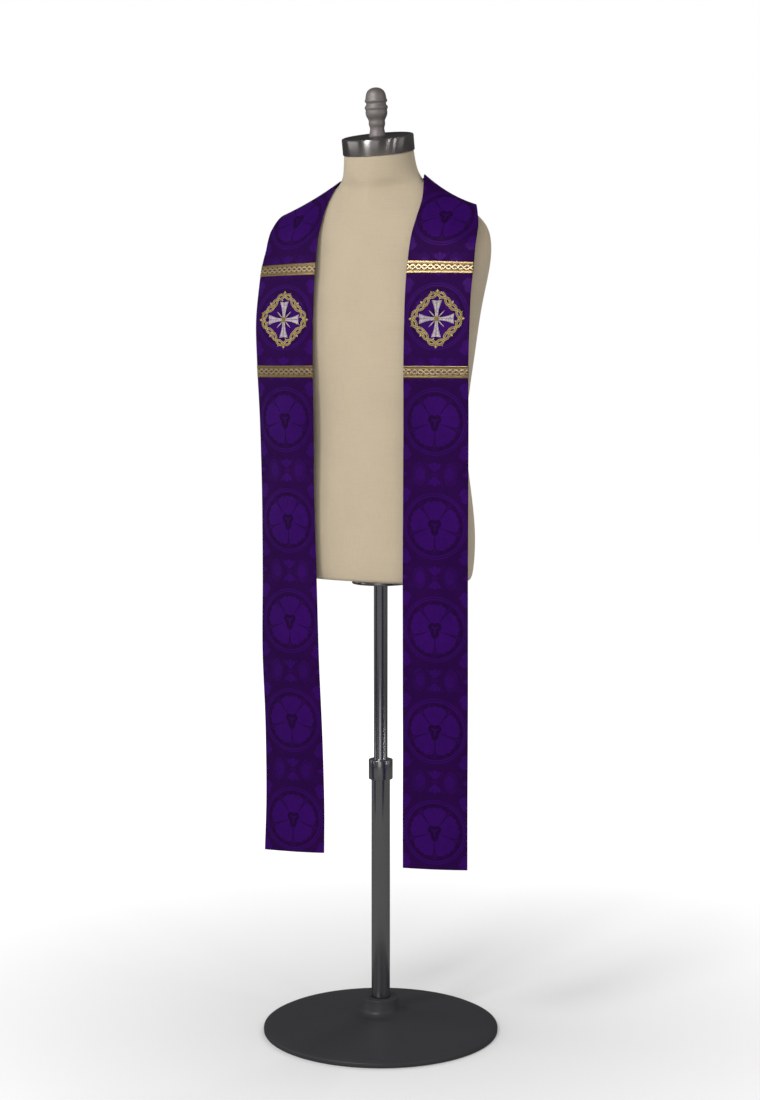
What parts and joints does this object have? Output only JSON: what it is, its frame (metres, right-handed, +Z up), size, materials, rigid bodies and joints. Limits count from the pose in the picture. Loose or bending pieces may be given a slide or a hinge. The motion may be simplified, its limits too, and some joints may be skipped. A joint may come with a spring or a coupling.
{
  "type": "clerical stole on a dress form",
  "caption": "Long purple brocade clerical stole with woven gold bands and stitched emblems, worn round the neck of a linen dress form on a pole stand.",
  "frame": {"origin": "on the floor under the middle of the round base, below the pole", "axes": "+Z up; the figure faces -Y, and the wearer's left is +X"},
  "size_m": [0.432, 0.432, 1.7115],
  "materials": {
    "brocade": "woven damask, satin figures on a duller ground",
    "galloon": "woven metallic galloon, semi-gloss",
    "gold_thread": "satin-stitch gold thread",
    "silver_thread": "satin-stitch silver thread",
    "linen": "matt plain-weave linen",
    "cap_steel": "brushed round the band",
    "cast_metal": "satin cast metal",
    "pole_steel": "polished tube",
    "base_paint": "satin paint"
  },
  "bodies": {
    "root": {"stole_left": "brocade", "stole_right": "brocade", "band_upper_left": "galloon", "band_lower_left": "galloon", "band_upper_right": "galloon", "band_lower_right": "galloon", "emblem_frame_left": "gold_thread", "emblem_cross_left": "silver_thread", "emblem_frame_right": "gold_thread", "emblem_cross_right": "silver_thread", "form_torso": "linen", "form_neck_cap": "cap_steel", "form_finial": "cast_metal", "form_pole": "pole_steel", "form_base": "base_paint"}
  },
  "joints": []
}
